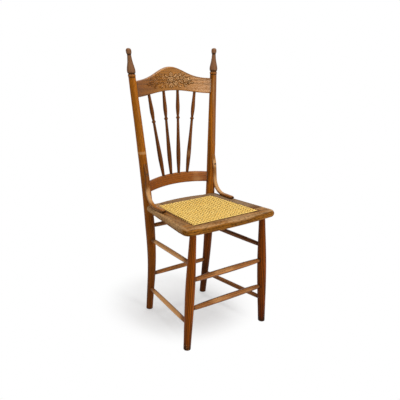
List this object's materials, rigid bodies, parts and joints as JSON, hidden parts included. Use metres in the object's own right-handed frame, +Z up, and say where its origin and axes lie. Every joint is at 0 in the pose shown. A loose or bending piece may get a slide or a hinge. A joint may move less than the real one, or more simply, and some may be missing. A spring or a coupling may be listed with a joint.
{
  "type": "pressed back chair",
  "caption": "Side chair of turned and bent oak with a pressed crest rail, a fan of turned spindles, bent hip braces, a caned seat and turned legs joined by rungs.",
  "frame": {"origin": "centre of the chair's footprint box, on the floor", "axes": "+Z up, -Y the way the chair faces, +X to the right seen from the front"},
  "size_m": [0.4064, 0.4276, 1.0248],
  "materials": {
    "post_oak": "satin varnished oak, worn",
    "leg_oak": "satin varnished oak, worn",
    "crest_oak": "satin varnished oak with a pressed pattern",
    "rail_oak": "satin varnished oak",
    "spindle_oak": "satin varnished oak",
    "rung_oak": "satin varnished oak, worn",
    "seat_oak": "dull varnished oak, worn at the edges",
    "brace_oak": "satin varnished bent oak",
    "cane": "woven natural cane",
    "dowel_birch": "bare turned hardwood",
    "screw_steel": "darkened slotted steel"
  },
  "bodies": {
    "root": {"back_spindle_1": "spindle_oak", "back_spindle_2": "spindle_oak", "back_spindle_3": "spindle_oak", "back_spindle_4": "spindle_oak", "crest_rail": "crest_oak", "front_lower_rung": "rung_oak", "front_upper_rung": "rung_oak", "left_brace_screw": "screw_steel", "left_foot_screw": "screw_steel", "left_front_dowel_1": "dowel_birch", "left_front_dowel_2": "dowel_birch", "left_front_leg": "leg_oak", "left_hip_brace": "brace_oak", "left_lower_rung": "rung_oak", "left_post_screw": "screw_steel", "left_rear_dowel_1": "dowel_birch", "left_rear_dowel_2": "dowel_birch", "left_rear_post": "post_oak", "left_upper_rung": "rung_oak", "lower_back_rail": "rail_oak", "rear_lower_rung": "rung_oak", "rear_upper_rung": "rung_oak", "right_brace_screw": "screw_steel", "right_foot_screw": "screw_steel", "right_front_dowel_1": "dowel_birch", "right_front_dowel_2": "dowel_birch", "right_front_leg": "leg_oak", "right_hip_brace": "brace_oak", "right_lower_rung": "rung_oak", "right_post_screw": "screw_steel", "right_rear_dowel_1": "dowel_birch", "right_rear_dowel_2": "dowel_birch", "right_rear_post": "post_oak", "right_upper_rung": "rung_oak", "seat_cane": "cane", "seat_front_rail": "seat_oak", "seat_left_rail": "seat_oak", "seat_rear_rail": "seat_oak", "seat_right_rail": "seat_oak"}
  },
  "joints": []
}
